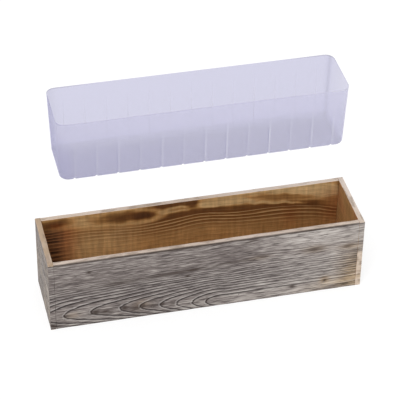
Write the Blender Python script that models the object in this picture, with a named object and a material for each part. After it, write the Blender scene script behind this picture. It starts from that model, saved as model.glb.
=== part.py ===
"""A long open-topped box of nailed boards, with a ribbed clear plastic liner that lifts straight out.

The model is in metres. X runs along the box, -Y is its front, and the box stands on Z = 0 with the
origin under its middle. The liner is drawn lifted clear above the box, where its slide is at zero.
"""

import math

import bmesh
import bpy
from mathutils import Matrix, Vector

# The box: two end boards cap the two long boards, and the floor board is set in between all four.
LENGTH = 0.432
WIDTH = 0.104
HEIGHT = 0.110
BOARD = 0.0075
FLOOR_RISE = 0.011  # from the foot of the walls to the floor board's underside
GAP = 0.0003  # clearance between two pieces that touch
ARRIS = 0.0004  # flat taken off every edge of a board

# The brads: wire nails with a flat head, set flush.
BRAD_LENGTH = 0.020
BRAD_HEAD_RADIUS = 0.0011
BRAD_HEAD_DEPTH = 0.0006
BRAD_SHANK_RADIUS = 0.00065
BRAD_POINT = 0.002
BRAD_SIDES = 10
HOLE_OVERRUN = 0.001  # how far a hole's cutter stands out of the board
CORNER_BRAD_HEIGHTS = (0.024, 0.058, 0.092)
LONG_SIDE_FIRST_BRAD = -0.197
LONG_SIDE_BRAD_PITCH = 0.120
LONG_SIDE_BRADS = 4
END_BRAD_OFFSET = 0.025

# The liner, drawn round its own base centre.
LINER_LENGTH = 0.381
LINER_WIDTH = 0.085
LINER_HEIGHT = 0.0885
LINER_WALL = 0.0008
LINER_DRAFT = 0.003  # how much further in each wall stands at the base than at the rim
LINER_CORNER = 0.012
LINER_FILLET = 0.004
CORNER_STEPS = 5
FILLET_STEPS = 2
LINER_OFFSET = -0.005  # the loose liner lies this far off the middle of the box
LINER_LIFT = 0.235  # the height of its base when it is lifted out

# The ribs: pressed-in channels that run down one long wall, across the floor and up the other.
RIBS = 13
RIB_PITCH = 0.0282
RIB_MOUTH = 0.0042
RIB_CREST = 0.0020
RIB_DEPTH = 0.0012
RIB_START = 0.006  # below the rim
RIB_RUN_IN = 0.004  # over which a rib comes to its full depth

SMOOTH_BELOW = math.radians(35)


def clear_scene():
    for obj in list(bpy.data.objects):
        bpy.data.objects.remove(obj, do_unlink=True)


def material(name, colour, roughness, metallic=0.0, alpha=1.0):
    made = bpy.data.materials.new(name)
    made.use_nodes = True
    shader = made.node_tree.nodes["Principled BSDF"]
    shader.inputs["Base Color"].default_value = (*colour, 1.0)
    shader.inputs["Roughness"].default_value = roughness
    shader.inputs["Metallic"].default_value = metallic
    shader.inputs["Alpha"].default_value = alpha
    return made


def add_object(name, mesh, finish, location=(0.0, 0.0, 0.0)):
    obj = bpy.data.objects.new(name, mesh)
    obj.location = location
    if finish:
        mesh.materials.append(finish)
    bpy.context.scene.collection.objects.link(obj)
    return obj


def mesh_from(shape, name):
    mesh = bpy.data.meshes.new(name)
    shape.to_mesh(mesh)
    shape.free()
    return mesh


# Boards


def board(name, size, centre, finish):
    """A square-cut board with its edges just taken off."""
    shape = bmesh.new()
    bmesh.ops.create_cube(shape, size=1.0)
    bmesh.ops.scale(shape, vec=size, verts=shape.verts)
    obj = add_object(name, mesh_from(shape, name), finish, centre)
    bevel = obj.modifiers.new("arris", "BEVEL")
    bevel.width = ARRIS
    bevel.segments = 1
    return obj


def make_boards(outside, inside):
    end_x = (LENGTH - BOARD) / 2
    long_y = (WIDTH - BOARD) / 2
    long_size = (LENGTH - 2 * (BOARD + GAP), BOARD, HEIGHT)
    end_size = (BOARD, WIDTH, HEIGHT)
    floor_size = (long_size[0], WIDTH - 2 * (BOARD + GAP), BOARD)
    middle = HEIGHT / 2
    return [
        board("front_board", long_size, (0, -long_y, middle), outside),
        board("back_board", long_size, (0, long_y, middle), outside),
        board("left_end_board", end_size, (-end_x, 0, middle), outside),
        board("right_end_board", end_size, (end_x, 0, middle), outside),
        board("floor_board", floor_size, (0, 0, FLOOR_RISE + BOARD / 2), inside),
    ]


# Brads, and the holes that they sit in


def add_turned(shape, profile, placed):
    """Adds the closed solid that the profile of (radius, depth) points makes when turned about +Z."""
    rings = []
    for radius, depth in profile:
        if radius == 0:
            rings.append([shape.verts.new(placed @ Vector((0, 0, depth)))])
            continue
        ring = []
        for side in range(BRAD_SIDES):
            angle = 2 * math.pi * side / BRAD_SIDES
            ring.append(shape.verts.new(placed @ Vector((radius * math.cos(angle), radius * math.sin(angle), depth))))
        rings.append(ring)
    for upper, lower in zip(rings, rings[1:]):
        for side in range(BRAD_SIDES):
            after = (side + 1) % BRAD_SIDES
            corners = []
            for ring, places in ((upper, (side, after)), (lower, (after, side))):
                corners += [ring[place] for place in places] if len(ring) > 1 else ring
            shape.faces.new(corners)


def brad_profile():
    return [
        (0, 0),
        (BRAD_HEAD_RADIUS, 0),
        (BRAD_HEAD_RADIUS, BRAD_HEAD_DEPTH),
        (BRAD_SHANK_RADIUS, BRAD_HEAD_DEPTH),
        (BRAD_SHANK_RADIUS, BRAD_LENGTH - BRAD_POINT),
        (0, BRAD_LENGTH),
    ]


def hole_profile():
    head = BRAD_HEAD_RADIUS + GAP
    shank = BRAD_SHANK_RADIUS + GAP
    seat = BRAD_HEAD_DEPTH + GAP
    return [
        (0, -HOLE_OVERRUN),
        (head, -HOLE_OVERRUN),
        (head, seat),
        (shank, seat),
        (shank, BRAD_LENGTH + GAP),
        (0, BRAD_LENGTH + GAP),
    ]


def brad_places():
    """Each brad's name, the middle of its head, and the way it is driven."""
    places = []
    long_y = (WIDTH - BOARD) / 2
    floor_z = FLOOR_RISE + BOARD / 2
    for end, end_name in ((-1, "left"), (1, "right")):
        inward = Vector((-end, 0, 0))
        for side, side_name in ((-1, "front"), (1, "back")):
            for row, height in enumerate(CORNER_BRAD_HEIGHTS, 1):
                head = Vector((end * LENGTH / 2, side * long_y, height))
                places.append((f"brad_{end_name}_{side_name}_{row}", head, inward))
            head = Vector((end * LENGTH / 2, side * END_BRAD_OFFSET, floor_z))
            places.append((f"brad_floor_{end_name}_{side_name}", head, inward))
    for side, side_name in ((-1, "front"), (1, "back")):
        for row in range(LONG_SIDE_BRADS):
            along = LONG_SIDE_FIRST_BRAD + row * LONG_SIDE_BRAD_PITCH
            head = Vector((along, side * WIDTH / 2, floor_z))
            places.append((f"brad_floor_{side_name}_{row + 1}", head, Vector((0, -side, 0))))
    return places


def driven(head, direction):
    """The matrix that turns +Z into the way a brad is driven and puts its head in place."""
    return Matrix.Translation(head) @ direction.to_track_quat("Z", "Y").to_matrix().to_4x4()


def make_brads(finish):
    shape = bmesh.new()
    add_turned(shape, brad_profile(), Matrix.Identity(4))
    mesh = mesh_from(shape, "brad")
    mesh.materials.append(finish)
    mesh.shade_smooth()
    mesh.set_sharp_from_angle(angle=SMOOTH_BELOW)
    for name, head, direction in brad_places():
        obj = add_object(name, mesh, None)
        obj.matrix_world = driven(head, direction)


def drill(boards):
    """One hidden cutter holds every brad's hole, and each board has it cut away."""
    shape = bmesh.new()
    for _, head, direction in brad_places():
        add_turned(shape, hole_profile(), driven(head, direction))
    cutter = add_object("brad_holes", mesh_from(shape, "brad_holes"), None)
    cutter.hide_render = True
    cutter.display_type = "WIRE"
    for drilled in boards:
        cut = drilled.modifiers.new("brad_holes", "BOOLEAN")
        cut.operation = "DIFFERENCE"
        cut.solver = "EXACT"
        cut.object = cutter


# Liner


def rib_stations():
    """Where the long wall's points lie along X, left to right, and whether each is on a rib's crest."""
    stations = []
    for rib in range(RIBS):
        middle = (rib - (RIBS - 1) / 2) * RIB_PITCH
        for offset, on_crest in (
            (-RIB_MOUTH / 2, False),
            (-RIB_CREST / 2, True),
            (RIB_CREST / 2, True),
            (RIB_MOUTH / 2, False),
        ):
            stations.append((middle + offset, on_crest))
    return stations


def corner_arc(half_x, half_y, radius, quarter):
    """Points round one corner, anticlockwise from above; quarter 0 starts facing +X."""
    signs = ((1, 1), (-1, 1), (-1, -1), (1, -1))[quarter]
    centre = Vector((signs[0] * (half_x - radius), signs[1] * (half_y - radius)))
    points = []
    for step in range(CORNER_STEPS + 1):
        angle = math.pi / 2 * (quarter + step / CORNER_STEPS)
        points.append(centre + radius * Vector((math.cos(angle), math.sin(angle))))
    return points


def liner_ring(shape, height, inset, tilt, rib_share):
    """One closed ring of the liner's outer skin.

    tilt is how far the skin has turned from upright (0) to flat (a right angle), and rib_share is
    how much of their full depth the ribs have. Returns the front row, right end, back row and left end.
    """
    lean = LINER_DRAFT * (1 - height / LINER_HEIGHT)
    half_x = LINER_LENGTH / 2 - lean - inset
    half_y = LINER_WIDTH / 2 - lean - inset
    radius = LINER_CORNER - inset
    depth = RIB_DEPTH * rib_share

    def wall(side):
        row = []
        for along, on_crest in rib_stations():
            push = depth if on_crest else 0.0
            across = side * (half_y - push * math.cos(tilt))
            row.append(shape.verts.new((along, across, height + push * math.sin(tilt))))
        return row

    def end(first_quarter):
        points = corner_arc(half_x, half_y, radius, first_quarter)
        points += corner_arc(half_x, half_y, radius, (first_quarter + 1) % 4)
        return [shape.verts.new((*point, height)) for point in points]

    return wall(-1), end(3), wall(1)[::-1], end(1)


def liner_rings(shape):
    """The skin's rings from the rim down to the floor's edge."""
    rings = [
        liner_ring(shape, LINER_HEIGHT, 0.0, 0.0, 0.0),
        liner_ring(shape, LINER_HEIGHT - RIB_START, 0.0, 0.0, 0.0),
        liner_ring(shape, LINER_HEIGHT - RIB_START - RIB_RUN_IN, 0.0, 0.0, 1.0),
    ]
    for step in range(FILLET_STEPS + 1):
        tilt = math.pi / 2 * step / FILLET_STEPS
        height = LINER_FILLET * (1 - math.sin(tilt))
        inset = LINER_FILLET * (1 - math.cos(tilt))
        rings.append(liner_ring(shape, height, inset, tilt, 1.0))
    return rings


def close_floor(shape, front, right, back, left):
    """Strips from the front row to the back row, which carry the ribs across, and a flat piece at each end."""
    back = back[::-1]
    for place in range(len(front) - 1):
        shape.faces.new((front[place], back[place], back[place + 1], front[place + 1]))
    shape.faces.new([front[-1]] + [back[-1]] + right[::-1])
    shape.faces.new([back[0]] + [front[0]] + left[::-1])


def make_liner(finish):
    shape = bmesh.new()
    rings = liner_rings(shape)
    for upper, lower in zip(rings, rings[1:]):
        above = sum(upper, [])
        below = sum(lower, [])
        for place in range(len(above)):
            after = (place + 1) % len(above)
            shape.faces.new((below[place], below[after], above[after], above[place]))
    close_floor(shape, *rings[-1])
    mesh = mesh_from(shape, "liner")
    mesh.shade_smooth()
    mesh.set_sharp_from_angle(angle=SMOOTH_BELOW)
    obj = add_object("liner", mesh, finish, (LINER_OFFSET, 0, LINER_LIFT))
    wall = obj.modifiers.new("wall", "SOLIDIFY")
    wall.thickness = LINER_WALL
    wall.offset = -1.0
    wall.use_even_offset = True


def main():
    clear_scene()
    whitewash = material("whitewashed_wood", (0.31, 0.27, 0.25), 0.85)
    torched = material("torched_wood", (0.24, 0.13, 0.05), 0.8)
    steel = material("brad_steel", (0.32, 0.31, 0.30), 0.45, metallic=1.0)
    plastic = material("clear_plastic", (0.78, 0.77, 0.88), 0.12, alpha=0.35)
    boards = make_boards(whitewash, torched)
    drill(boards)
    make_brads(steel)
    make_liner(plastic)


main()
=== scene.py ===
"""The looks of the long wooden box and its lift-out clear liner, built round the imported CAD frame.

The five boards are rebuilt as dense, worn-edged meshes that carry their growth rings as values on
their points, so that the relief and the grain's colour follow the same rings. The liner is a finer
shell with rounded ribs, and the brads get domed heads. Everything is in metres.
"""

import math

import bmesh
import bpy
import numpy as np
from mathutils import Matrix, Vector


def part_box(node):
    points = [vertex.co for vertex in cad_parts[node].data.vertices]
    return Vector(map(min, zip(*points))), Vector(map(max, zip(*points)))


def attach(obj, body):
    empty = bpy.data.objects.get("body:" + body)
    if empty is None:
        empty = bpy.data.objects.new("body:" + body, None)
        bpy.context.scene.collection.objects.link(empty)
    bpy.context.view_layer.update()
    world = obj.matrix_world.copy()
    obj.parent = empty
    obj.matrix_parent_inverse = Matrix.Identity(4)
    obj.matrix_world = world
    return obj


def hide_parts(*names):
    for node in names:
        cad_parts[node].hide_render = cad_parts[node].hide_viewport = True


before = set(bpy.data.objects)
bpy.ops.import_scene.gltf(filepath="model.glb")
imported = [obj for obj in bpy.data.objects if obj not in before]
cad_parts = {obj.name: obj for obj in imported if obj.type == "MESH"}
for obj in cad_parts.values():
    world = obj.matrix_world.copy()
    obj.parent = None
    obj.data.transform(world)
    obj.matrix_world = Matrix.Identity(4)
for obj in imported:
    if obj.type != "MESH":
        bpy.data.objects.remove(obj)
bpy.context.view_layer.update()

BODY_BOX = "box"
BODY_LINER = "liner"


# Node graphs


class Graph:
    """One material's node tree. Most calls add a node, link its inputs and return its output."""

    def __init__(self, name):
        self.material = bpy.data.materials.new(name)
        self.material.use_nodes = True
        self.tree = self.material.node_tree
        self.shader = self.tree.nodes["Principled BSDF"]

    def put(self, socket, value):
        if isinstance(value, bpy.types.NodeSocket):
            self.tree.links.new(value, socket)
        elif hasattr(value, "__len__") and len(value) == 3 and socket.type == "RGBA":
            socket.default_value = (*value, 1.0)
        else:
            socket.default_value = value

    def attribute(self, name, output="Fac"):
        node = self.tree.nodes.new("ShaderNodeAttribute")
        node.attribute_name = name
        return node.outputs[output]

    def math(self, operation, first, second=0.0, clamp=False):
        node = self.tree.nodes.new("ShaderNodeMath")
        node.operation = operation
        node.use_clamp = clamp
        self.put(node.inputs[0], first)
        self.put(node.inputs[1], second)
        return node.outputs[0]

    def spread(self, value, share):
        """A noise from 0 to 1 as a swing from -share to share, for adding to something."""
        centred = self.math("SUBTRACT", value, 0.5)
        return self.math("MULTIPLY", centred, 2.0 * share)

    def stretch(self, vector, factors):
        node = self.tree.nodes.new("ShaderNodeVectorMath")
        node.operation = "MULTIPLY"
        self.put(node.inputs[0], vector)
        node.inputs[1].default_value = factors
        return node.outputs[0]

    def noise(self, vector, detail=2.0, roughness=0.5):
        node = self.tree.nodes.new("ShaderNodeTexNoise")
        self.put(node.inputs["Vector"], vector)
        node.inputs["Scale"].default_value = 1.0
        node.inputs["Detail"].default_value = detail
        node.inputs["Roughness"].default_value = roughness
        return node.outputs["Fac"]

    def ramp(self, value, *stops):
        """Maps value through (position, level) stops. A level is a number or a colour."""
        node = self.tree.nodes.new("ShaderNodeValToRGB")
        elements = node.color_ramp.elements
        while len(elements) < len(stops):
            elements.new(0.5)
        for element, (position, level) in zip(elements, stops):
            element.position = position
            element.color = (*level, 1.0) if hasattr(level, "__len__") else (level, level, level, 1.0)
        self.put(node.inputs[0], value)
        return node.outputs[0]

    def mix(self, share, first, second, blend="MIX"):
        node = self.tree.nodes.new("ShaderNodeMix")
        node.data_type = "RGBA"
        node.blend_type = blend
        self.put(node.inputs["Factor"], share)
        self.put(node.inputs["A"], first)
        self.put(node.inputs["B"], second)
        return node.outputs["Result"]

    def bump(self, height, distance, strength):
        node = self.tree.nodes.new("ShaderNodeBump")
        self.put(node.inputs["Height"], height)
        node.inputs["Distance"].default_value = distance
        node.inputs["Strength"].default_value = strength
        return node.outputs[0]

    def see_through(self, tint, solidity):
        """Shows what is behind through this tint, apart from the shader's own share, its solidity."""
        clear = self.tree.nodes.new("ShaderNodeBsdfTransparent")
        self.put(clear.inputs["Color"], tint)
        blend = self.tree.nodes.new("ShaderNodeMixShader")
        self.put(blend.inputs["Fac"], solidity)
        self.tree.links.new(clear.outputs[0], blend.inputs[1])
        self.tree.links.new(self.shader.outputs[0], blend.inputs[2])
        self.tree.links.new(blend.outputs[0], self.tree.nodes["Material Output"].inputs["Surface"])

    def finish(self, **inputs):
        """Sets the shader's sockets, named with underscores for spaces."""
        for name, value in inputs.items():
            self.put(self.shader.inputs[name.replace("_", " ")], value)
        return self.material


# The wood's noises are stretched by their cycles to a metre along, across and through the board.


def whitewashed_wood():
    """Weathered boards: dark open grain and pale residue of a grey wash, with cream sawn edges."""
    graph = Graph("whitewashed_wood")
    grain = graph.attribute("grain", "Vector")
    line_share = graph.attribute("line")
    fibre = graph.noise(graph.stretch(grain, (60, 850, 850)), detail=2.0, roughness=0.6)
    streak = graph.noise(graph.stretch(grain, (26, 480, 480)), detail=3.0, roughness=0.6)
    drift = graph.noise(graph.stretch(grain, (16, 170, 170)), detail=3.0)
    patch = graph.noise(graph.stretch(grain, (50, 170, 170)), detail=3.0)

    tone = graph.math("ADD", graph.attribute("tone"), graph.spread(streak, 0.75))
    tone = graph.math("ADD", tone, graph.spread(drift, 0.28))
    tone = graph.math("ADD", tone, graph.spread(fibre, 0.85))
    wood = graph.ramp(
        graph.math("MULTIPLY", tone, 0.75),
        (0.0, (0.052, 0.042, 0.04)),
        (0.375, (0.158, 0.134, 0.128)),
        (0.75, (0.37, 0.34, 0.318)),
        (1.0, (0.5, 0.465, 0.44)),
    )
    wood = graph.mix(graph.attribute("warm"), wood, (1.0, 0.81, 0.56), "MULTIPLY")

    wandered = graph.math("ADD", graph.attribute("ring"), graph.spread(streak, 0.1))
    phase = graph.math("FRACT", wandered)
    apart = graph.math("DIVIDE", graph.math("SUBTRACT", phase, RING_LINE), graph.attribute("width"))
    apart = graph.math("ADD", graph.math("MULTIPLY", apart, 0.5), 0.5, clamp=True)
    line = graph.ramp(apart, (0.0, 0.0), (0.2, 0.4), (0.34, 0.9), (0.5, 1.0), (0.64, 0.0))
    broken = graph.ramp(patch, (0.36, 0.8), (0.46, 1.0))
    line = graph.math("MULTIPLY", graph.math("MULTIPLY", line, line_share), broken)
    fringe = graph.ramp(apart, (0.64, 0.0), (0.78, 0.6), (1.0, 0.0))
    wood = graph.mix(graph.math("MULTIPLY", fringe, line_share), wood, (0.44, 0.41, 0.395))
    wood = graph.mix(line, wood, (0.014, 0.01, 0.01))
    slit = graph.math("MULTIPLY", graph.ramp(fibre, (0.36, 1.0), (0.43, 0.0)), 0.6)
    wood = graph.mix(slit, wood, (0.04, 0.032, 0.03))
    wood = graph.mix(graph.attribute("burn"), wood, (0.036, 0.023, 0.018))

    pale = graph.mix(graph.attribute("cream"), (0.68, 0.58, 0.5), (0.46, 0.34, 0.235))
    sawn = graph.mix(graph.ramp(patch, (0.36, 0.55), (0.5, 0.0)), pale, (0.26, 0.19, 0.14))
    colour = graph.mix(graph.attribute("sawn"), wood, sawn)

    height = graph.math("SUBTRACT", streak, graph.math("MULTIPLY", line, 0.6))
    return graph.finish(
        Base_Color=colour,
        Roughness=graph.ramp(drift, (0.3, 0.72), (0.7, 0.9)),
        Specular_IOR_Level=0.2,
        Normal=graph.bump(height, 0.0005, 0.7),
    )


def torched_wood():
    """Scorched inside faces: amber wood, brown bands between thin pale rings, and saw marks across."""
    graph = Graph("torched_wood")
    grain = graph.attribute("grain", "Vector")
    fibre = graph.noise(graph.stretch(grain, (40, 420, 420)), detail=3.0, roughness=0.6)
    streak = graph.noise(graph.stretch(grain, (18, 220, 220)), detail=3.0)
    patch = graph.noise(graph.stretch(grain, (25, 35, 35)), detail=2.0)
    mottle = graph.noise(graph.stretch(grain, (230, 26, 26)), detail=2.0)

    tone = graph.math("ADD", graph.attribute("tone"), graph.spread(patch, 0.1))
    gold = graph.ramp(
        tone,
        (0.0, (0.1, 0.038, 0.013)),
        (0.2, (0.165, 0.065, 0.017)),
        (0.38, (0.345, 0.175, 0.055)),
        (0.55, (0.53, 0.295, 0.11)),
        (0.72, (0.64, 0.42, 0.19)),
        (1.0, (0.8, 0.57, 0.3)),
    )
    shade = graph.math("ADD", 0.88, graph.spread(mottle, 0.38))
    shade = graph.math("ADD", shade, graph.spread(fibre, 0.3))
    gold = graph.mix(1.0, gold, shade, "MULTIPLY")
    wandered = graph.math("ADD", graph.attribute("ring"), graph.spread(streak, 0.25))
    phase = graph.math("FRACT", wandered)
    band = graph.ramp(phase, (0.0, 0.0), (0.1, 0.0), (0.25, 1.0), (0.75, 0.8), (0.95, 0.0))
    line_share = graph.attribute("line")
    wood = graph.mix(graph.math("MULTIPLY", band, line_share), gold, (0.15, 0.058, 0.014))
    thin = graph.ramp(phase, (0.0, 0.8), (0.1, 0.8), (0.2, 0.0), (0.86, 0.0), (0.96, 0.8))
    wood = graph.mix(graph.math("MULTIPLY", thin, line_share), wood, (0.52, 0.32, 0.145))
    wood = graph.mix(graph.attribute("warm"), wood, (1.0, 0.62, 0.5), "MULTIPLY")
    burn = graph.ramp(streak, (0.35, 0.7), (0.55, 1.0))
    burn = graph.math("MULTIPLY", burn, graph.math("ADD", 0.6, graph.math("MULTIPLY", band, 0.4)))
    wood = graph.mix(graph.math("MULTIPLY", graph.attribute("burn"), burn), wood, (0.03, 0.012, 0.008))

    height = graph.math("SUBTRACT", fibre, graph.math("MULTIPLY", band, 0.8))
    return graph.finish(
        Base_Color=wood,
        Roughness=graph.ramp(streak, (0.3, 0.55), (0.7, 0.75)),
        Specular_IOR_Level=0.25,
        Normal=graph.bump(height, 0.0004, 0.6),
    )


# Boards

MM = 1000  # in a metre
BOARD_MIDDLE = 55  # mm above the foot, on the side boards
RING_LINE = 0.42  # where in each ring its dark line lies
LINE_REACH = 0.0027  # of that line and its pale fringe, to either side
THINNEST_LINE = 0.02  # as a share of the ring
WIDEST_LINE = 0.4
LONG_STEP = 0.002  # between a board's points along the grain
CROSS_STEP = 0.001
THICK_STEP = 0.0015
ARRIS = 0.0008  # the edges' usual radius, which wear varies between the next two
SHARPEST_ARRIS = 0.0004
BLUNTEST_ARRIS = 0.0014
JOINT_ARRIS = 0.00015  # where a board's end meets its neighbour
JOINT_FILL = 0.0002  # how much nearer the long boards come to the end boards than in the CAD
EDGE_ROWS = (0.0003, 0.0007)  # extra rows of points beside each edge, for a round arris
ON_EDGE = 1.01 * EDGE_ROWS[0]  # how far from a long edge its sawn face still counts
SOILED_RIM = 1.1 * EDGE_ROWS[1]  # how far the front face's dark top line reaches over the rim
SOILED_SHARE = 0.25  # how much of the sawn face's cream is left there
INNER_SHARE = 0.25  # of a board's thickness that has the inside's finish
WARP = 0.0011  # how far the rings wander across the grain
LINE_GROOVE = 0.00012  # how deep a ring's dark line is worn in
DIP = 0.00008  # how deep the faces' soft dips are, on the whole
GRAIN_SHIFT = 0.7  # between two boards' places in the noise


def stops_along(length, step):
    """Distances from 0 to length: even steps, with extra rows near both ends."""
    inner = np.linspace(0, length, max(2, round(length / step)) + 1)[1:-1]
    near = np.array(EDGE_ROWS)
    return np.unique(np.concatenate(([0], near, inner, length - near[::-1], [length])))


def lattice(size):
    """Points and quads on the surface of a box, each point as its (u, v, w), and each quad's side."""
    stops = [stops_along(side, step) for side, step in zip(size, (LONG_STEP, CROSS_STEP, THICK_STEP))]
    counts = [len(s) for s in stops]
    index = np.full(counts, -1)
    places = np.stack(np.meshgrid(*[np.arange(n) for n in counts], indexing="ij"), -1).reshape(-1, 3)
    outside = ((places == 0) | (places == np.array(counts) - 1)).any(1)
    places = places[outside]
    index[tuple(places.T)] = np.arange(len(places))
    points = np.stack([stops[axis][places[:, axis]] for axis in range(3)], 1)
    quads = []
    sides = []
    for axis in range(3):
        for far in (False, True):
            sheet = np.take(index, counts[axis] - 1 if far else 0, axis=axis)
            corners = (sheet[:-1, :-1], sheet[1:, :-1], sheet[1:, 1:], sheet[:-1, 1:])
            flat = np.stack([c.ravel() for c in corners], 1)
            if far == (axis == 1):
                flat = flat[:, ::-1]
            quads.append(flat)
            sides += [(axis, far)] * len(flat)
    return points, np.concatenate(quads), sides


def rounded(points, size, radius):
    """The points moved onto a box with round edges, and the way each faces."""
    radius = radius[:, None]
    core = np.clip(points, radius, np.array(size) - radius)
    out = points - core
    normal = out / np.linalg.norm(out, axis=1)[:, None]
    return core + radius * normal, normal


def waves(points, seed, count=6):
    """A smooth random field: sines of random directions and phases, from about -1 to 1."""
    random = np.random.default_rng(seed)
    total = np.zeros(len(points))
    for _ in range(count):
        way = random.normal(size=3)
        total += np.sin(points @ way * 2 + random.uniform(0, 2 * math.pi))
    return total / count ** 0.5


def pace(rings, u, v):
    """How many rings there are to a metre at each point."""
    step = 0.0005
    along = rings(u + step, v) - rings(u - step, v)
    across = rings(u, v + step) - rings(u, v - step)
    return np.hypot(along, across) / (2 * step)


def from_middle(along, across, middle, half_size, tilt):
    """How far each point is from an oval's middle: 1 on its outline. tilt is the oval's rise along u."""
    a = (along - middle[0]) / half_size[0]
    b = (across - middle[1] - tilt * (along - middle[0])) / half_size[1]
    return np.hypot(a, b)


def blob(along, across, middle, half_size, tilt=0.0):
    """1 at the middle of an oval patch, falling smoothly to 0 outside it."""
    return np.exp(-from_middle(along, across, middle, half_size, tilt) ** 2)


def oval(along, across, middle, half_size, tilt, soft):
    """1 inside an oval island and 0 outside it, with an edge this soft."""
    return 1 - soft_step(from_middle(along, across, middle, half_size, tilt), 1 - soft, 1 + soft)


def soft_step(value, low, high):
    """0 up to low, 1 from high, and smooth between."""
    share = np.clip((value - low) / (high - low), 0, 1)
    return share * share * (3 - 2 * share)


# Each board's rings and finish. u runs along the grain and v across it, both from the board's middle.

# Where the arches' tips lie on the front face: (mm along, rings out from the last).
ARCH_TIPS = (
    (-250, 9.9), (-197, 8), (-160, 7), (-119, 6), (-93, 5), (-65, 4),
    (-43, 3), (-21, 2), (-3, 1), (14, 0.3), (216, 0),
)
LAST_ARCH = 8.38  # the ring number at the right end of the arches' middle line
CLOSING_RING = 17  # the ring from which the lines close up

# The first light line under the islands on the back board's inside: (along, down from the top) in mm.
BACK_BAND_LINE = (
    (-208, 25), (-174, 25.5), (-134, 29), (-101, 32), (-68, 32), (-48, 29), (-18, 28), (9, 24.5),
    (32, 26.5), (54, 30), (79, 31), (116, 32.5), (154, 37), (191, 41), (208, 49),
)
BAND_PITCH = 0.0052  # between the bands on the other boards' insides


def smooth_line(along, points, reach):
    """A line through (along, height) points, with its corners rounded over this reach."""
    shifts = np.linspace(-reach, reach, 5)
    return sum(np.interp(along + shift, *zip(*points)) for shift in shifts) / len(shifts)


def front_rings(u, v):
    """Nested arches with their tips to the left, low on the board, under lines that close up above."""
    mm_u = u * MM
    mm_v = v * MM + BOARD_MIDDLE
    axis = 21.5 - 11.5 * np.clip((mm_u + 216) / 212, 0, 1.15) ** 2
    on_axis = LAST_ARCH + smooth_line(mm_u, ARCH_TIPS, 6)
    spacing = 2.9 + 0.3 * soft_step(mm_u, -60, 100)
    below = 1 + 0.25 * soft_step(axis - mm_v, 0, 8)
    ring = np.hypot(on_axis, below * (mm_v - axis) / spacing)
    return ring + 0.03 * np.clip(ring - CLOSING_RING, 0, None) ** 2


def plain_rings(seed):
    """Nested arches about a line along the board, at a place and spacing drawn from the seed."""
    random = np.random.default_rng(seed)
    axis = random.uniform(-0.02, 0.02)
    slope = random.uniform(20, 35) * random.choice((-1, 1))
    spacing = random.uniform(0.0022, 0.003)
    start = random.uniform(9, 12)

    def rings(u, v):
        on_axis = start + slope * u
        return np.hypot(on_axis, (v - axis - 0.04 * u) / spacing)

    return rings


def back_inside_rings(u, v):
    """Wavy bands that dip and rise together, wider the further they are from the first light line."""
    mm_u = u * MM
    depth = BOARD_MIDDLE - v * MM - smooth_line(mm_u, BACK_BAND_LINE, 16)
    return 10 + np.sign(depth) * (np.sqrt(1 + 0.032 * np.abs(depth)) - 1) / 0.08


def band_rings(seed):
    """Gently wavy bands across the whole width."""
    random = np.random.default_rng(seed)
    sway = random.uniform(0.002, 0.004)
    turns = random.uniform(12, 20)
    start = random.uniform(0, 1)

    def rings(u, v):
        return start + (v + sway * np.sin(turns * u) + 6 * v * v) / BAND_PITCH

    return rings


LONG_BOARDS = ("front_board", "back_board")
FLOOR_AXES = ((1, 0, 0), (0, 1, 0), (0, 0, -1))


class Board:
    """One board: its node, its axes along, across and out of the box (u, v, w), its rings and finish."""

    def __init__(self, node, axes, rings, finish, seed):
        self.node = node
        self.axes = np.array(axes, float)
        self.outer_rings, self.inner_rings = rings
        self.outer_finish, self.inner_finish = finish
        self.seed = seed
        low, high = (np.array(corner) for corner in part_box(node))
        if node in LONG_BOARDS:
            low[0] -= JOINT_FILL
            high[0] += JOINT_FILL
        self.middle = (low + high) / 2
        self.size = np.abs(self.axes @ (high - low))


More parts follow.
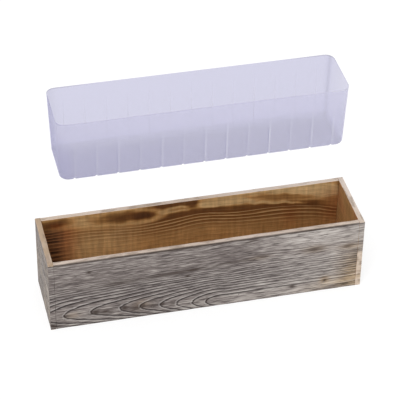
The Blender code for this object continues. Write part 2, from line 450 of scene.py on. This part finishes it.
# Marks on the front face: (middle, half size, tilt, share), in mm along and up from the foot.
FRONT_WARM = (
    ((206, 30), (22, 34), 0.0, 1.0),
    ((206, 4), (60, 14), 0.0, 0.6),
    ((148, 75), (16, 6), 0.0, 0.5),
    ((196, 72), (14, 4), 0.0, 0.5),
    ((70, 74), (14, 4), 0.03, 0.35),
    ((164, 19), (7, 6), 0.0, 0.9),
    ((-92, 22), (12, 8), 0.0, 0.5),
    ((-186, 20), (10, 6), 0.0, 0.4),
)
FRONT_BURN = (
    ((148, 75), (15, 4.5), 0.0, 0.6),
    ((196, 72), (12, 3), 0.0, 0.45),
    ((72, 74), (12, 3), 0.0, 0.5),
    ((38, 72.5), (36, 2.4), 0.04, 0.6),
    ((-50, 68), (42, 3.2), 0.05, 0.85),
    ((-22, 69.5), (18, 2.4), 0.03, 0.95),
    ((-120, 65), (30, 4.5), 0.03, 0.6),
    ((-128, 63), (12, 2), 0.03, 0.7),
    ((55, 103), (13, 1.6), 0.14, 0.8),
    ((-20, 107), (30, 1.6), 0.0, 0.5),
    ((206, 54), (6, 12), 0.0, 0.5),
    ((118, 15), (5, 3.4), 0.0, 0.9),
    ((164, 17.5), (2.6, 2.6), 0.0, 0.95),
    ((-155, 20), (9, 4), 0.0, 0.95),
    ((-142, 18), (10, 4), 0.05, 0.8),
    ((-115, 20), (5, 3.6), 0.0, 0.95),
    ((-101, 17), (9, 3.6), 0.05, 0.75),
    ((-77, 17), (7, 3.4), 0.05, 0.65),
    ((-49, 15), (5, 3), 0.05, 0.55),
    ((-90, 19), (3, 5), 0.0, 0.7),
    ((-63, 17), (3, 3), 0.0, 0.85),
    ((-194, 20), (5, 3.5), 0.0, 0.6),
    ((-2, 14), (2, 5), 0.0, 0.7),
    ((-212, 6), (10, 4), -0.3, 0.9),
    ((-162, 90.5), (3, 2.4), 0.0, 0.95),
    ((-29, 60), (3.6, 2.6), 0.0, 0.95),
    ((175, 3.5), (28, 1.8), 0.0, 0.6),
)


def front_finish(mm_u, mm_v, drift):
    """The front face: darkest at the middle left, palest at the upper right, tan at the right end."""
    tone = 0.47 + 0.3 * soft_step(mm_u, 10, 150)
    tone += 0.12 * (1 - soft_step(mm_v, 0, 40)) * soft_step(mm_u, -110, 40)
    tone += 0.07 * blob(mm_u, mm_v, (150, 94), (70, 16)) + 0.05 * soft_step(mm_v, 70, 95)
    tone -= 0.08 * blob(mm_u, mm_v, (40, 88), (60, 10)) - 0.05 * drift
    low = 1 - soft_step(mm_v, 60, 76)
    near_foot = 1 - soft_step(mm_v, 44, 66)
    line = 0.1 + 0.5 * low + 0.4 * near_foot
    line *= 1 - 0.3 * soft_step(mm_u, 0, 120)
    tone += 0.1 * line - 0.06 * near_foot * (1 - soft_step(mm_u, -90, 20))
    warm = np.full(len(mm_u), 0.06)
    for middle, half_size, tilt, share in FRONT_WARM:
        warm += share * blob(mm_u, mm_v, middle, half_size, tilt)
    burn = np.zeros(len(mm_u))
    for middle, half_size, tilt, share in FRONT_BURN:
        burn = np.maximum(burn, share * blob(mm_u, mm_v, middle, half_size, tilt))
    rim = soft_step(mm_v, 106.4, 108.2) * (0.65 + 0.25 * drift)
    foot = (1 - soft_step(mm_v, 0.8, 2.0)) * 0.6
    return tone, line, warm, np.maximum(burn, np.maximum(rim, foot))


def plain_finish(mm_u, mm_v, drift):
    """The other outside faces: even grey-taupe with faint tan patches."""
    tone = 0.76 + 0.1 * drift
    line = 0.5 + 0.1 * drift
    warm = np.clip(0.22 + 0.15 * drift, 0, 1)
    return tone, line, warm, np.zeros(len(mm_v))


# Islands on the back board's inside, painted in this order: (middle, half size, tilt, softness, tone),
# in mm along and down from the top. The tone runs from 0 (dark) through 0.47 (gold) to 1.
BACK_ISLANDS = (
    ((-150, 12), (26, 11), 0.05, 0.7, 0.66),
    ((-190, 9), (20, 6), 0.0, 0.7, 0.2),
    ((-92, 13), (56, 14.5), 0.03, 0.15, 0.62),
    ((-98, 12.5), (42, 8.5), 0.02, 0.3, 0.42),
    ((-86, 13), (32, 7.5), 0.0, 0.7, 0.2),
    ((-68, 13.5), (14, 5), 0.0, 0.8, 0.03),
    ((-24, 2), (36, 5), 0.0, 0.4, 0.17),
    ((-24, 12), (26, 4.6), -0.02, 0.2, 0.66),
    ((-18, 12), (12, 2), 0.0, 0.6, 0.45),
    ((50, 10.5), (44, 7.5), 0.03, 0.12, 0.74),
    ((95, 3), (90, 5), 0.0, 0.3, 0.66),
    ((1, 5), (7, 9), 0.0, 0.8, 0.1),
    ((168, 11), (54, 13), 0.13, 0.16, 0.8),
    ((128, 15), (50, 5), 0.15, 0.4, 0.38),
    ((112, 22), (44, 2.4), 0.16, 0.4, 0.68),
)


def back_inside_finish(mm_u, down, drift):
    """The back board's inside: pale and dark islands over light-lined brown bands, burnt at the left."""
    tone = 0.5 + 0.03 * drift + 0.16 * (1 - soft_step(mm_u, -130, 20)) * soft_step(down, 20, 40)
    ragged = down + 1.1 * np.sin(mm_u / 7.0 + 2 * np.sin(mm_u / 17.0)) + 0.5 * np.sin(mm_u / 2.9)
    from_line = down - smooth_line(mm_u, BACK_BAND_LINE, 16)
    trough = soft_step(mm_u, -62, -40) * soft_step(from_line, -14, -8) * (1 - soft_step(mm_u, 170, 205))
    tone += (0.19 - tone) * trough * (1 - soft_step(from_line, -1, 1))
    for middle, half_size, tilt, soft, level in BACK_ISLANDS:
        tone += (level - tone) * oval(mm_u, ragged, middle, half_size, tilt, soft)
    line = soft_step(from_line, -6, 0) * (1 - 0.93 * soft_step(from_line, 8, 30))
    line *= 0.5 + 0.5 * soft_step(mm_u, -110, -30) - 0.2 * soft_step(mm_u, 120, 190)
    warm = 0.55 * blob(mm_u, down, (205, 45), (18, 26)) + 0.4 * blob(mm_u, down, (140, 50), (12, 20))
    warm += 0.7 * blob(mm_u, down, (-188, 13), (12, 5)) + 0.35 * blob(mm_u, down, (-176, 40), (16, 30))
    warm += 0.5 * (1 - soft_step(mm_u, -180, -150)) * soft_step(down, 14, 26)
    burn = (1 - soft_step(mm_u, -200, -158)) * (0.8 + 0.25 * drift)
    burn *= 1 - 0.8 * blob(mm_u, down, (-186, 12), (11, 6))
    burn *= 0.35 + 0.65 * soft_step(down, 8, 30)
    return tone, line, warm, burn


def plain_inside_finish(mm_u, down, drift):
    """The other inside faces: the same amber, in soft patches that are redder and more scorched."""
    tone = 0.62 + 0.08 * drift
    line = np.full(len(mm_u), 0.3)
    warm = np.clip(0.3 + 0.4 * drift, 0, 1)
    burn = np.clip(0.2 * drift, 0, 1)
    return tone, line, warm, burn


# How tan each board's sawn edges are, from cream at 0.
CREAM = {
    "front_board": 0.1,
    "back_board": 0.25,
    "left_end_board": 0.95,
    "right_end_board": 0.0,
    "floor_board": 0.5,
}
# How bare the end boards' front edges are worn, up to this height, and how tan they are there.
WORN_FRONT_EDGE = {"left_end_board": 0.0, "right_end_board": 0.8}
WORN_HEIGHT = (0.056, 0.062)
WORN_CREAM = 0.45


def side_values(board, local, world, inside):
    """The ring and the shader's shares at each point, as though it lay on this side of the board."""
    u, v = local[:, 0], local[:, 1]
    foot = board.size[1] / 2
    drift = waves(world * (18, 30, 45), board.seed)
    warped = v + WARP * waves(world * (14, 40, 40), board.seed + 80)
    if inside:
        rings = board.inner_rings
        shares = board.inner_finish(u * MM, (foot - v) * MM, drift)
    else:
        rings = board.outer_rings
        shares = board.outer_finish(u * MM, (foot + v) * MM, drift)
    values = dict(zip(("tone", "line", "warm", "burn"), shares))
    values["ring"] = rings(u, warped)
    values["width"] = np.clip(LINE_REACH * pace(rings, u, v), THINNEST_LINE, WIDEST_LINE)
    values["cream"] = np.clip(CREAM[board.node] + 0.25 * drift, 0, 1)
    values["grain"] = local + GRAIN_SHIFT * board.seed
    return values


def chosen(where, first, second):
    """first's values where this holds and second's elsewhere."""
    return {
        name: np.where(where[:, None] if first[name].ndim == 2 else where, first[name], second[name])
        for name in first
    }


def finish_values(board, front, points, local, world):
    """The shader's values at each point. An end board's front edge carries on the front face."""
    inner = points[:, 2] < board.size[2] * INNER_SHARE
    inner_values = side_values(board, local, world, True)
    values = chosen(inner, inner_values, side_values(board, local, world, False))
    from_edge = np.minimum(points[:, 1], board.size[1] - points[:, 1])
    values["sawn"] = (from_edge < ON_EDGE).astype(float)
    if board is front:
        values["sawn"] *= np.where(points[:, 2] > board.size[2] - SOILED_RIM, SOILED_SHARE, 1)
    if board.node in WORN_FRONT_EDGE:
        at_front = (points[:, 0] < EDGE_ROWS[1]) & (values["sawn"] == 0)
        in_front = (world - front.middle) @ front.axes.T
        as_front = side_values(front, in_front, world, False)
        as_front["cream"] = np.full(len(points), WORN_CREAM)
        as_front["sawn"] = WORN_FRONT_EDGE[board.node] * (1 - soft_step(world[:, 2], *WORN_HEIGHT))
        as_front["sawn"] *= np.clip(0.9 + 0.5 * waves(world * (250, 80, 160), board.seed + 20), 0.2, 1)
        values = chosen(at_front, as_front, values)
    values["warm"] = np.clip(values["warm"], 0, 1)
    values["burn"] = np.clip(values["burn"], 0, 0.95)
    return values


def set_attribute(mesh, name, values):
    """Puts one number or vector on each of the mesh's points, under this name."""
    kind, field = ("FLOAT_VECTOR", "vector") if values.ndim == 2 else ("FLOAT", "value")
    attribute = mesh.attributes.new(name, kind, "POINT")
    attribute.data.foreach_set(field, values.astype(np.float32).ravel())


def edge_radius(board, points):
    """How round the board's edges are worn near each point. Its ends are left sharp for the joints."""
    radius = ARRIS * (1 + 0.35 * waves(points * 60, board.seed + 60))
    at_joint = np.minimum(points[:, 0], board.size[0] - points[:, 0]) < ARRIS
    return np.where(at_joint, JOINT_ARRIS, np.clip(radius, SHARPEST_ARRIS, BLUNTEST_ARRIS))


def relief(board, values, world):
    """How deep each point is worn in: grooves along the rings' dark lines, and soft dips."""
    from_line = (values["ring"] % 1.0 - RING_LINE) / values["width"]
    groove = np.exp(-from_line ** 2) * values["line"]
    dip = np.clip(1 + waves(world * (30, 90, 90), board.seed + 100), 0, 2)
    return LINE_GROOVE * groove + DIP * dip


def make_board(board, front, outside, inside):
    """Rebuilds a board with worn edges and its grain in relief."""
    points, quads, sides = lattice(board.size)
    local, normal = rounded(points, board.size, edge_radius(board, points))
    local = local - board.size / 2
    world = board.middle + local @ board.axes
    values = finish_values(board, front, points, local, world)
    local = local - normal * relief(board, values, world)[:, None]
    world = board.middle + local @ board.axes
    within = np.array([axis == 2 and not far for axis, far in sides])
    mirrored = np.linalg.det(board.axes) < 0
    faces = quads[:, ::-1] if mirrored else quads
    mesh = bpy.data.meshes.new(board.node + "_look")
    mesh.from_pydata(world.tolist(), [], faces.tolist())
    mesh.materials.append(outside)
    mesh.materials.append(inside)
    mesh.polygons.foreach_set("material_index", within.astype(np.int32))
    for name, value in values.items():
        set_attribute(mesh, name, value)
    mesh.shade_smooth()
    piece = add_piece(board.node + "_worn", mesh, BODY_BOX)
    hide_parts(board.node)


def add_piece(name, mesh, body):
    """Adds a mesh as a piece that rides on a body."""
    piece = bpy.data.objects.new(name, mesh)
    bpy.context.scene.collection.objects.link(piece)
    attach(piece, body)
    return piece


def make_boards(outside, inside):
    """The five boards, each with the axes, rings, finish and seed that set it apart."""
    plain = (plain_finish, plain_inside_finish)
    front = (front_finish, plain_inside_finish)
    back = (plain_finish, back_inside_finish)
    along_x = ((1, 0, 0), (0, 0, 1))
    across_x = ((0, 1, 0), (0, 0, 1))
    boards = (
        Board("front_board", (*along_x, (0, -1, 0)), (front_rings, band_rings(11)), front, 1),
        Board("back_board", (*along_x, (0, 1, 0)), (plain_rings(5), back_inside_rings), back, 2),
        Board("left_end_board", (*across_x, (-1, 0, 0)), (plain_rings(7), band_rings(12)), plain, 3),
        Board("right_end_board", (*across_x, (1, 0, 0)), (plain_rings(8), band_rings(13)), plain, 4),
        Board("floor_board", FLOOR_AXES, (plain_rings(9), band_rings(14)), plain, 5),
    )
    for board in boards:
        make_board(board, boards[0], outside, inside)


# Brads

BRAD_SIDES = 20
BRAD_HEAD = 0.0011
BRAD_HEAD_DEPTH = 0.0005
BRAD_DOME = 0.00012
BRAD_SHANK = 0.00065
BRAD_POINT = 0.002  # from where the shank starts to taper to the tip
BRAD_TIP = 0.0009  # the blunt end of that taper, half as thick as the shank
BRAD_SUNK = 0.00014  # how far the head is set into the board
HEAD_TILTS = (0.3, math.pi / 2)  # from the first ring round the dome's middle to the head's rim


def brad_steel():
    """Dulled wire nails, with a little rust."""
    graph = Graph("brad_steel")
    spot = graph.noise(graph.stretch(graph.attribute("grain", "Vector"), (900, 900, 900)), detail=3.0)
    rust = graph.ramp(spot, (0.45, 0.0), (0.62, 0.8))
    colour = graph.mix(rust, (0.20, 0.19, 0.18), (0.09, 0.045, 0.025))
    return graph.finish(
        Base_Color=colour,
        Metallic=graph.ramp(rust, (0.0, 0.9), (0.8, 0.1)),
        Roughness=graph.ramp(spot, (0.3, 0.4), (0.7, 0.7)),
        Normal=graph.bump(spot, 0.0001, 0.5),
    )


def brad_mesh(reach, finish):
    """A nail down -Z from its head's middle: a domed head, a round shank and a point."""
    tilts = np.linspace(*HEAD_TILTS, 5)
    profile = [(BRAD_HEAD * math.sin(tilt), BRAD_DOME * math.cos(tilt)) for tilt in tilts]
    profile += [(BRAD_HEAD, -BRAD_HEAD_DEPTH), (BRAD_SHANK, -1.2 * BRAD_HEAD_DEPTH)]
    profile += [(BRAD_SHANK, BRAD_POINT - reach), (BRAD_SHANK / 2, BRAD_TIP - reach)]
    turns = np.linspace(0, 2 * math.pi, BRAD_SIDES, endpoint=False)
    round_points = [(math.cos(turn), math.sin(turn)) for turn in turns]
    shape = bmesh.new()
    rings = []
    for radius, height in profile:
        rings.append([shape.verts.new((radius * x, radius * y, height)) for x, y in round_points])
    for upper, lower in zip(rings, rings[1:]):
        for side in range(BRAD_SIDES):
            after = (side + 1) % BRAD_SIDES
            shape.faces.new((upper[side], lower[side], lower[after], upper[after]))
    top = shape.verts.new((0, 0, BRAD_DOME))
    tip = shape.verts.new((0, 0, -reach))
    for side in range(BRAD_SIDES):
        after = (side + 1) % BRAD_SIDES
        shape.faces.new((top, rings[0][side], rings[0][after]))
        shape.faces.new((tip, rings[-1][after], rings[-1][side]))
    mesh = bpy.data.meshes.new("brad_look")
    shape.to_mesh(mesh)
    shape.free()
    mesh.materials.append(finish)
    mesh.shade_smooth()
    mesh.set_sharp_from_angle(angle=math.radians(40))
    set_attribute(mesh, "grain", np.array([v.co for v in mesh.vertices]))
    return mesh


def make_brads(finish):
    """Every nail, with its head on the outside of the board it goes through."""
    for node in sorted(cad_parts):
        if not node.startswith("brad_"):
            continue
        low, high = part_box(node)
        size = high - low
        axis = max(range(3), key=lambda k: size[k])
        middle = (low + high) / 2
        out = Vector((0, 0, 0))
        out[axis] = 1.0 if middle[axis] > 0 else -1.0
        head = middle + out * size[axis] / 2
        mesh = brad_mesh(size[axis], finish)
        turned = out.to_track_quat("Z", "Y").to_matrix().to_4x4()
        mesh.transform(Matrix.Translation(head - out * BRAD_SUNK) @ turned)
        piece = add_piece(node + "_nail", mesh, BODY_BOX)
        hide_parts(node)


# Liner

LINER_DRAFT = 0.003  # how much further in each wall stands at its foot
LINER_CORNER = 0.012
LINER_FILLET = 0.004  # between the walls and the floor
LINER_WALL = 0.0006
RIM_ROWS = (0, 0.001, 0.0016)  # below the top
RIM_BAND = 0.0012  # how far down the rim is painted darker and more solid, most of all near the corners
RIM_SOLIDITY = 0.1
RIM_ROOM = 0.0001  # left above the rim, which the wall's thickness lifts slightly
CORNER_STEPS = 12
FILLET_STEPS = 6
RIBS = 13
RIB_PITCH = 0.0282
RIB_MOUTH = 0.0042
RIB_DEPTH = 0.0012
RIB_POINTS = 9
RIB_START = 0.006  # below the top
RIB_RUN_IN = 0.005
WALL_ROWS = 8
FLOOR_MIDDLE = 0.25  # where the row of points along the middle of the floor lies, from the back
# Solidity is how much the sheet hides what is behind it, and gleam the painted highlight that a rib's
# right flank puts on it, and below 0 the painted shade of its left flank.
RIB_GLEAM = 0.3
RIB_SOLIDITY = 0.36  # for each 1 of gleam
BACK_SOLIDITY = 0.08
FRONT_SOLIDITY = 0.14
FLOOR_SOLIDITY = 0.2
FLOOR_MIDDLE_SOLIDITY = 0.18
FLOOR_BACK_SOLIDITY = 0.11


def clear_plastic():
    """Thin clear sheet with a lilac cast and painted light and shade: it is painted more solid and
    darker where it is bent.
    """
    graph = Graph("clear_plastic")
    ripple = graph.noise(graph.stretch(graph.attribute("place", "Vector"), (40, 40, 60)), detail=1.0)
    # The tint carries painted light and shade: low for the shaded floor, high for the lit front wall and
    # the rib flanks' painted highlights.
    colour = graph.ramp(
        graph.attribute("tint"),
        (0.0, (0.17, 0.168, 0.24)),
        (0.2, (0.5, 0.49, 0.7)),
        (0.5, (0.84, 0.835, 0.86)),
        (0.7, (0.96, 0.955, 0.98)),
    )
    graph.see_through((0.82, 0.817, 0.884), graph.attribute("solidity"))
    return graph.finish(
        Base_Color=colour,
        Roughness=0.2,
        Specular_IOR_Level=0.3,
        Normal=graph.bump(ripple, 0.002, 0.1),
    )


def rib_shape(share):
    """How far in a rib stands at this share of its half width, from -1 to 1."""
    return 0.5 + 0.5 * math.cos(math.pi * share)


def rib_height(share, side):
    """How much of a rib's depth is left at this share of the wall's height. The back ones end lower."""
    fade = soft_step(share, 0.4, 0.8) if side < 0 else soft_step(share, 0.1, 0.4)
    return 1 - 0.85 * fade


def rib_stations():
    """The long wall's points along X, each with its share of a rib's half width."""
    stations = []
    for rib in range(RIBS):
        middle = (rib - (RIBS - 1) / 2) * RIB_PITCH
        for share in np.linspace(-1, 1, RIB_POINTS):
            stations.append((middle + share * RIB_MOUTH / 2, share))
    return stations


class LinerRow:
    """One ring of the liner's outer skin. Each of its points is a (place, solidity, tint).

    tilt is how far the skin has turned from upright to flat, and rib_share how far the ribs have run in.
    """

    def __init__(self, size, height, inset=0.0, tilt=0.0, rib_share=0.0):
        lean = LINER_DRAFT * (1 - height / size.z)
        self.width = size.y
        self.height = height
        self.share = height / size.z
        self.tilt = tilt
        self.rib_share = rib_share
        self.half_x = size.x / 2 - lean - inset
        self.half_y = size.y / 2 - lean - inset
        self.radius = LINER_CORNER - inset
        self.rim = RIM_SOLIDITY if height > size.z - RIM_BAND else 0.0

    def tint(self, x, to_front):
        """The sheet's painted light and shade: the front wall is painted brightest at its top and right,
        the back one even and darker, and the floor darkest.
        """
        wall = 0.2 + (0.3 + 0.2 * soft_step(self.share, 0.3, 0.9)) * to_front
        return wall * (1 - math.sin(self.tilt)) + to_front * (0.09 * x / self.half_x - 0.03)

    def solidity(self, x, to_front):
        """How solid the sheet looks, from the back wall (least) to the front of the floor (most). With
        the dark tint, the floor's extra solidity, most at its left, and the fold along the front bend
        are painted shade.
        """
        wall = BACK_SOLIDITY + (FRONT_SOLIDITY - BACK_SOLIDITY) * to_front
        wall += 0.02 * to_front * soft_step(self.share, 0.5, 0.9)
        floor = FLOOR_BACK_SOLIDITY + (FLOOR_SOLIDITY - FLOOR_BACK_SOLIDITY) * to_front
        floor += 0.02 * soft_step(-x / self.half_x, 0.2, 0.9)
        # Painted shade: a darker, more solid line along the front wall's bend into the floor.
        fold_shade = 0.03 * math.sin(2 * self.tilt) * to_front
        return wall + (floor - wall) * math.sin(self.tilt) + fold_shade

    def point(self, x, y, extra, light):
        """The ring's point here, with this much added to its solidity, and this much painted light and
        shade added to its tint.
        """
        to_front = np.clip(0.5 - y / self.width, 0, 1)
        # Painted shade along the rim: darker and more solid near the corners, a little lighter in the
        # middle.
        rim = self.rim * (soft_step(abs(x) / self.half_x, 0.55, 0.9) - 0.1)
        solidity = self.solidity(x, to_front) + extra + rim
        tint = self.tint(x, to_front) + light - 2 * rim
        return (x, y, self.height), float(solidity), float(tint)

    def gleam(self, along, share):
        """The painted highlight on a rib's right flank, and below 0 the painted shade on its left one:
        less at the left and top.
        """
        shown = self.rib_share * (1 - soft_step(self.share, 0.35, 0.9)) * math.cos(self.tilt)
        flank = math.sin(math.pi * share) * (1.0 if share > 0 else 0.4)
        uneven = 0.8 + 0.2 * math.sin(along * 90)
        from_left = 0.7 + 0.3 * soft_step(along / self.half_x, -0.4, 0.1)
        return RIB_GLEAM * shown * flank * uneven * from_left

    def wall(self, side):
        """The front wall's points (side -1) or the back one's (side 1), pushed in where the ribs are."""
        row = []
        for along, share in rib_stations():
            push = RIB_DEPTH * rib_shape(share) * self.rib_share * rib_height(self.share, side)
            gleam = self.gleam(along, share)
            across = side * (self.half_y - push * math.cos(self.tilt))
            # The gleam adds painted highlight and shade to the tint, and its bright part to the
            # solidity.
            (x, y, z), solidity, tint = self.point(along, across, RIB_SOLIDITY * max(gleam, 0), gleam)
            row.append(((x, y, z + push * math.sin(self.tilt)), solidity, tint))
        return row

    def end(self, first_quarter):
        """One end's points, round both its corners, with painted shade: the left end a little darker,
        every corner a little darker round its bend, and the right corners darkest along their edge.
        """
        row = []
        for quarter in (first_quarter, (first_quarter + 1) % 4):
            sign_x, sign_y = ((1, 1), (-1, 1), (-1, -1), (1, -1))[quarter]
            for turn in np.linspace(quarter, quarter + 1, CORNER_STEPS + 1) * math.pi / 2:
                x = sign_x * (self.half_x - self.radius) + self.radius * math.cos(turn)
                y = sign_y * (self.half_y - self.radius) + self.radius * math.sin(turn)
                bend = abs(math.sin(2 * turn))
                right = soft_step(x / self.half_x, 0.5, 0.9)
                edge = right * bend ** 8
                # Painted shade in the tint, and a little more solidity round the bends.
                light = -0.06 * (1 - right) - 0.02 * bend - 0.1 * edge
                row.append(self.point(x, y, 0.02 * bend + 0.07 * edge, light))
        return row

    def stretches(self):
        """The ring in order: front wall, right end, back wall, left end."""
        return self.wall(-1), self.end(3), self.wall(1)[::-1], self.end(1)


def liner_rows(size):
    """The outer skin's rings from the rim down to the floor's edge."""
    rows = [LinerRow(size, size.z - drop) for drop in RIM_ROWS]
    top = size.z - RIB_START
    for share in np.linspace(0, 1, 5):
        run_in = 0.5 - 0.5 * math.cos(math.pi * share)
        rows.append(LinerRow(size, top - share * RIB_RUN_IN, rib_share=run_in))
    for height in np.linspace(top - RIB_RUN_IN, LINER_FILLET, WALL_ROWS)[1:-1]:
        rows.append(LinerRow(size, height, rib_share=1.0))
    for tilt in np.linspace(0, math.pi / 2, FILLET_STEPS + 1):
        height = LINER_FILLET * (1 - math.sin(tilt))
        inset = LINER_FILLET * (1 - math.cos(tilt))
        rows.append(LinerRow(size, height, inset, tilt, 1.0))
    return [row.stretches() for row in rows]


def join_rings(shape, rings):
    """Adds the faces between each ring of points and the one below it."""
    for upper, lower in zip(rings, rings[1:]):
        above = sum(upper, [])
        below = sum(lower, [])
        for place in range(len(above)):
            after = (place + 1) % len(above)
            shape.faces.new((below[place], below[after], above[after], above[place]))


def join_floor(shape, front, right, middle, back, left):
    """Adds the floor's faces: two rows of strips that follow the ribs, and one face at each end."""
    for near, far in ((front, middle), (middle, back)):
        for place in range(len(front) - 1):
            shape.faces.new((near[place], far[place], far[place + 1], near[place + 1]))
    shape.faces.new([front[-1], middle[-1], back[-1]] + right[::-1])
    shape.faces.new([back[0], middle[0], front[0]] + left[::-1])


def liner_mesh(low, high, finish):
    """The tray's outer skin in this box, with its solidity and tint at every point."""
    size = high - low
    base = Vector(((low.x + high.x) / 2, (low.y + high.y) / 2, low.z))
    shape = bmesh.new()
    solidities = []
    tints = []

    def add(place, solidity, tint):
        solidities.append(solidity)
        tints.append(tint)
        return shape.verts.new(base + Vector(place))

    rings = [[[add(*point) for point in stretch] for stretch in row] for row in liner_rows(size)]
    join_rings(shape, rings)
    front, right, back, left = rings[-1]
    back = back[::-1]
    middle = []
    for f, b in zip(front, back):
        # The floor's middle row gets the darkest tint, as painted shade.
        middle.append(add(b.co.lerp(f.co, FLOOR_MIDDLE) - base, FLOOR_MIDDLE_SOLIDITY, 0.0))
    join_floor(shape, front, right, middle, back, left)
    mesh = bpy.data.meshes.new("liner_look")
    shape.to_mesh(mesh)
    shape.free()
    set_attribute(mesh, "solidity", np.array(solidities))
    set_attribute(mesh, "tint", np.array(tints))
    set_attribute(mesh, "place", np.array([v.co for v in mesh.vertices]))
    mesh.materials.append(finish)
    mesh.shade_smooth()
    mesh.set_sharp_from_angle(angle=math.radians(50))
    return mesh


def make_liner(finish):
    """The tray as one sheet, which a modifier thickens inwards."""
    low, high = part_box("liner")
    high.z -= RIM_ROOM
    piece = add_piece("liner_shell", liner_mesh(low, high, finish), BODY_LINER)
    wall = piece.modifiers.new("wall", "SOLIDIFY")
    wall.thickness = LINER_WALL
    wall.offset = -1.0
    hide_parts("liner")


# Stage, light and camera

FLOOR_HALF = 6.0
FLOOR_GLOW = 0.35
# To the camera the floor is darker but glows more, so that it is just white behind the liner too.
SEEN_FLOOR_GREY = 0.3
SEEN_FLOOR_GLOW = 0.39  # on top of the other
WORLD_STRENGTH = 0.55
LIT_PLACE = (0, 0, 0.12)
# Each light's name, place, size and power.
LIGHTS = (
    ("key", (-1.4, -1.6, 2.4), 1.6, 42),
    ("fill", (1.8, -1.8, 1.2), 1.8, 16),
    ("top", (0.2, 0.6, 2.6), 1.8, 16),
)
CAMERA_YAW = math.radians(13.99)
CAMERA_PITCH = math.radians(37.59)
CAMERA_ROLL = math.radians(-0.89)
CAMERA_LENS = 165.1  # mm on a 36 mm sensor
CAMERA_DISTANCE = 2.533
CAMERA_ASIDE = 0.0013  # how far to the right of the box's foot it looks
CAMERA_ABOVE = 0.1144  # and how far above


def floor_finish():
    graph = Graph("pale_floor")
    tone = graph.noise(graph.stretch(graph.attribute("grain", "Vector"), (3, 3, 3)), detail=2.0)
    seen = graph.tree.nodes.new("ShaderNodeLightPath").outputs["Is Camera Ray"]
    pale = graph.mix(tone, (0.93, 0.93, 0.93), (0.95, 0.95, 0.95))
    return graph.finish(
        Base_Color=graph.mix(seen, pale, (SEEN_FLOOR_GREY, SEEN_FLOOR_GREY, SEEN_FLOOR_GREY)),
        Roughness=0.9,
        Emission_Color=(1.0, 1.0, 1.0),
        Emission_Strength=graph.math("ADD", FLOOR_GLOW, graph.math("MULTIPLY", seen, SEEN_FLOOR_GLOW)),
    )


def make_floor():
    mesh = bpy.data.meshes.new("floor")
    corners = [(x, y, 0) for x, y in ((-1, -1), (1, -1), (1, 1), (-1, 1))]
    mesh.from_pydata((np.array(corners) * FLOOR_HALF).tolist(), [], [(0, 1, 2, 3)])
    set_attribute(mesh, "grain", np.array([v.co for v in mesh.vertices]))
    mesh.materials.append(floor_finish())
    floor = bpy.data.objects.new("floor", mesh)
    bpy.context.scene.collection.objects.link(floor)


def area_light(name, place, size, power):
    """A square lamp turned towards the part."""
    light = bpy.data.lights.new(name, "AREA")
    light.shape = "SQUARE"
    light.size = size
    light.energy = power
    lamp = bpy.data.objects.new(name, light)
    lamp.location = place
    lamp.rotation_euler = (Vector(LIT_PLACE) - Vector(place)).to_track_quat("-Z", "Y").to_euler()
    bpy.context.scene.collection.objects.link(lamp)


def make_lights():
    for name, place, size, power in LIGHTS:
        area_light(name, place, size, power)
    world = bpy.data.worlds.new("studio")
    world.use_nodes = True
    background = world.node_tree.nodes["Background"]
    background.inputs["Color"].default_value = (1.0, 1.0, 1.0, 1.0)
    background.inputs["Strength"].default_value = WORLD_STRENGTH
    bpy.context.scene.world = world
    bpy.context.scene.view_settings.view_transform = "Standard"


def make_camera():
    """A long lens above the box's front left, looking down along it."""
    forward = Vector((
        math.sin(CAMERA_YAW) * math.cos(CAMERA_PITCH),
        math.cos(CAMERA_YAW) * math.cos(CAMERA_PITCH),
        -math.sin(CAMERA_PITCH),
    ))
    right = Vector((math.cos(CAMERA_YAW), -math.sin(CAMERA_YAW), 0))
    up = right.cross(forward)
    turned_right = math.cos(CAMERA_ROLL) * right - math.sin(CAMERA_ROLL) * up
    turned_up = math.sin(CAMERA_ROLL) * right + math.cos(CAMERA_ROLL) * up
    place = CAMERA_ASIDE * turned_right + CAMERA_ABOVE * turned_up - CAMERA_DISTANCE * forward
    data = bpy.data.cameras.new("camera")
    data.lens = CAMERA_LENS
    camera = bpy.data.objects.new("camera", data)
    axes = Matrix((turned_right, turned_up, -forward)).transposed().to_4x4()
    camera.matrix_world = Matrix.Translation(place) @ axes
    bpy.context.scene.collection.objects.link(camera)
    bpy.context.scene.camera = camera


make_camera()
make_lights()
make_floor()
make_boards(whitewashed_wood(), torched_wood())
make_brads(brad_steel())
make_liner(clear_plastic())
